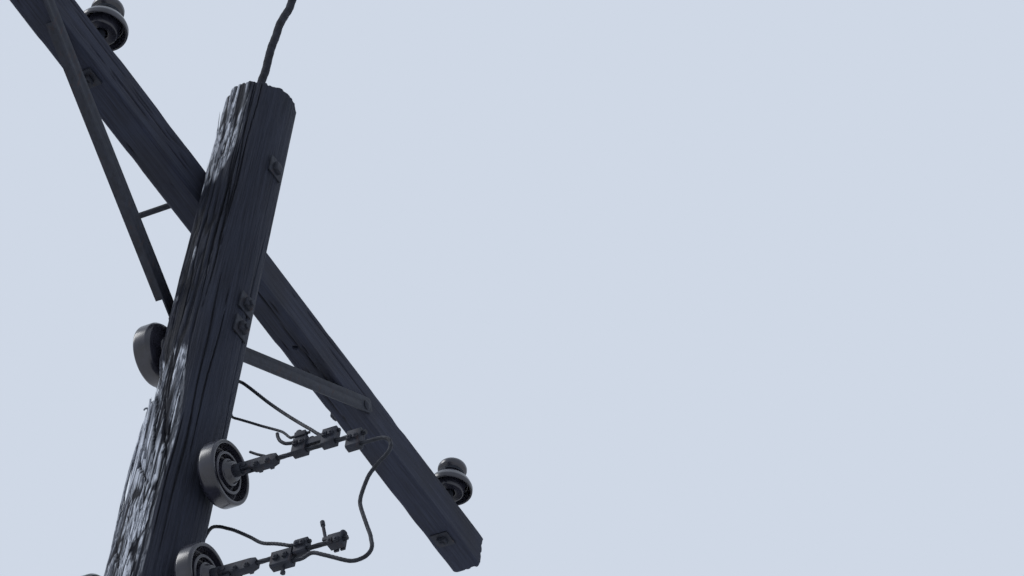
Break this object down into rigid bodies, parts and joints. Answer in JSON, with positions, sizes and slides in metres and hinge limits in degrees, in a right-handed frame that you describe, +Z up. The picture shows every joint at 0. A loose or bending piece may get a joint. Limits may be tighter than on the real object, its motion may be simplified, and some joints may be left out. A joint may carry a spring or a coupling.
{
  "type": "wooden telephone pole with crossarm",
  "caption": "Round timber line pole with a crossarm on angle steel braces, pin insulators on the arm, and bell insulators with strain clamps, connectors and jumpers on the pole.",
  "frame": {"origin": "centre of the pole at the ground line", "axes": "+Z up the pole, +X along the crossarm towards its end with two insulators, +Y along the line, away from the arm's side of the pole"},
  "size_m": [3.1, 0.9634, 8.062],
  "materials": {
    "pole_timber": "weathered creosoted timber",
    "arm_timber": "weathered sawn timber",
    "galvanised_steel": "weathered galvanised",
    "porcelain": "brown glaze",
    "weathered_rod": "rusted",
    "conductor": "weathered aluminium"
  },
  "bodies": {
    "root": {"pole": "pole_timber", "crossarm": "arm_timber", "crossarm_bolt": "galvanised_steel", "crossarm_washers": "galvanised_steel", "near_brace": "galvanised_steel", "far_brace": "galvanised_steel", "brace_arm_bolts": "galvanised_steel", "brace_pole_bolt": "galvanised_steel", "near_end_pin": "galvanised_steel", "near_inner_pin": "galvanised_steel", "far_end_pin": "galvanised_steel", "near_end_insulator": "porcelain", "near_inner_insulator": "porcelain", "far_end_insulator": "porcelain", "left_upper_bell": "porcelain", "left_lower_bell": "porcelain", "right_upper_bell": "porcelain", "right_lower_bell": "porcelain", "bell_bolts": "galvanised_steel", "bell_plates": "galvanised_steel", "left_lugs": "galvanised_steel", "eye_nuts": "galvanised_steel", "clamps": "galvanised_steel", "conductor_ends": "conductor", "upper_connectors": "galvanised_steel", "lower_connectors": "galvanised_steel", "upper_jumper": "conductor", "lower_jumper": "conductor", "joining_jumper": "conductor", "tap_jumper": "conductor", "cut_tail": "conductor", "top_rod": "weathered_rod"}
  },
  "joints": []
}
